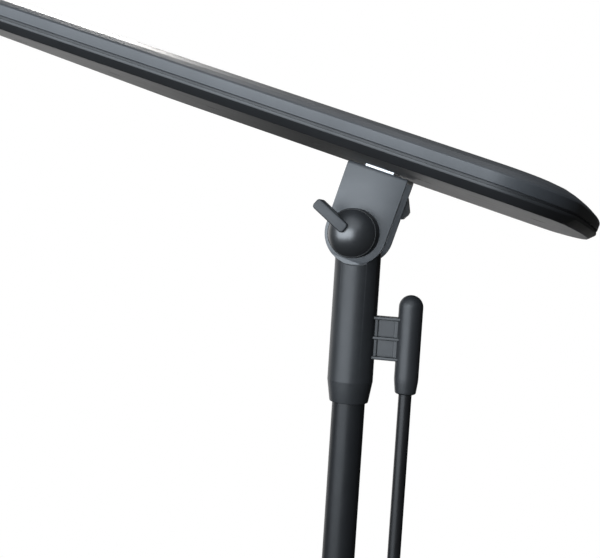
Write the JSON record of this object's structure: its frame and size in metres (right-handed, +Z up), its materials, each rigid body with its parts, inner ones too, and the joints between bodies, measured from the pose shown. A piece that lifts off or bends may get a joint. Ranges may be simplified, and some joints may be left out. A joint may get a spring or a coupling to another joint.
{
  "type": "music stand",
  "caption": "Height-adjustable music stand with a tilting moulded tray desk, a lever-clamped clevis head, a telescoping mast with a guide rod, and a tripod base.",
  "frame": {"origin": "centre of the stand's footprint, on the floor, under the whole object at rest", "axes": "+Z up, +X towards the player, where the desk is lowest, +Y to the player's right"},
  "size_m": [0.418, 0.4784, 1.1094],
  "materials": {
    "desk_plastic": "satin moulded",
    "pan_plastic": "satin moulded",
    "sleeve_plastic": "satin moulded",
    "knob_plastic": "fine grain",
    "dome_plastic": "satin moulded",
    "lever_plastic": "satin moulded",
    "bracket_paint": "powder coat",
    "tube_paint": "powder coat",
    "hub_paint": "powder coat",
    "rod_black": "satin black",
    "black_screw": "black oxide",
    "steel": "zinc plated",
    "zinc": "bright zinc plated",
    "nylon": "natural nylon",
    "fibre": "vulcanised fibre",
    "rubber": "matt"
  },
  "bodies": {
    "base": {"outer_tube": "tube_paint", "tube_bush": "nylon", "height_collar": "sleeve_plastic", "rod_guide": "sleeve_plastic", "pressure_pad": "nylon", "base_hub": "hub_paint", "tube_plug": "rubber", "leg_screws": "steel", "leg_rear": "tube_paint", "leg_left": "tube_paint", "leg_right": "tube_paint", "foot_rear": "rubber", "foot_left": "rubber", "foot_right": "rubber"},
    "mast": {"head_sleeve": "sleeve_plastic", "rod_holder": "sleeve_plastic", "sleeve_screw": "black_screw", "inner_tube": "tube_paint", "glide_plug": "nylon", "guide_rod": "rod_black", "rod_stop": "rubber"},
    "desk": {"desk_tray": "desk_plastic", "desk_pan": "pan_plastic", "backing_plate": "steel", "pan_screws": "black_screw", "bracket_screws": "steel", "tilt_bracket": "bracket_paint", "bracket_spacer": "zinc", "pivot_stud": "steel", "friction_washers": "fibre"},
    "tilt_knob": {"tilt_knob_body": "knob_plastic", "tilt_knob_dome": "dome_plastic", "tilt_lever": "lever_plastic"},
    "far_knob": {"far_knob_body": "knob_plastic", "far_lever": "knob_plastic"},
    "height_knob": {"clamp_screw": "steel", "height_knob_body": "knob_plastic", "height_knob_dome": "dome_plastic", "height_lever": "lever_plastic"}
  },
  "joints": [
    {"name": "height_slide", "type": "slide", "parent": "base", "child": "mast", "axis": [0, 0, 1], "range_m": [-0.22, 0.18]},
    {"name": "desk_tilt", "type": "hinge", "parent": "mast", "child": "desk", "pos_m": [0.065, 0, 1], "axis": [0, 1, 0], "range_deg": [-20, 60]},
    {"name": "tilt_knob_turn", "type": "hinge", "parent": "desk", "child": "tilt_knob", "pos_m": [0.065, -0.0134, 1], "axis": [0, -1, 0], "range_deg": [0, 150]},
    {"name": "far_knob_turn", "type": "hinge", "parent": "desk", "child": "far_knob", "pos_m": [0.065, 0.0134, 1], "axis": [0, 1, 0], "range_deg": [0, 120]},
    {"name": "height_knob_turn", "type": "hinge", "parent": "base", "child": "height_knob", "pos_m": [0.065, -0.021, 0.57], "axis": [0, -1, 0], "range_deg": [0, 270]}
  ]
}
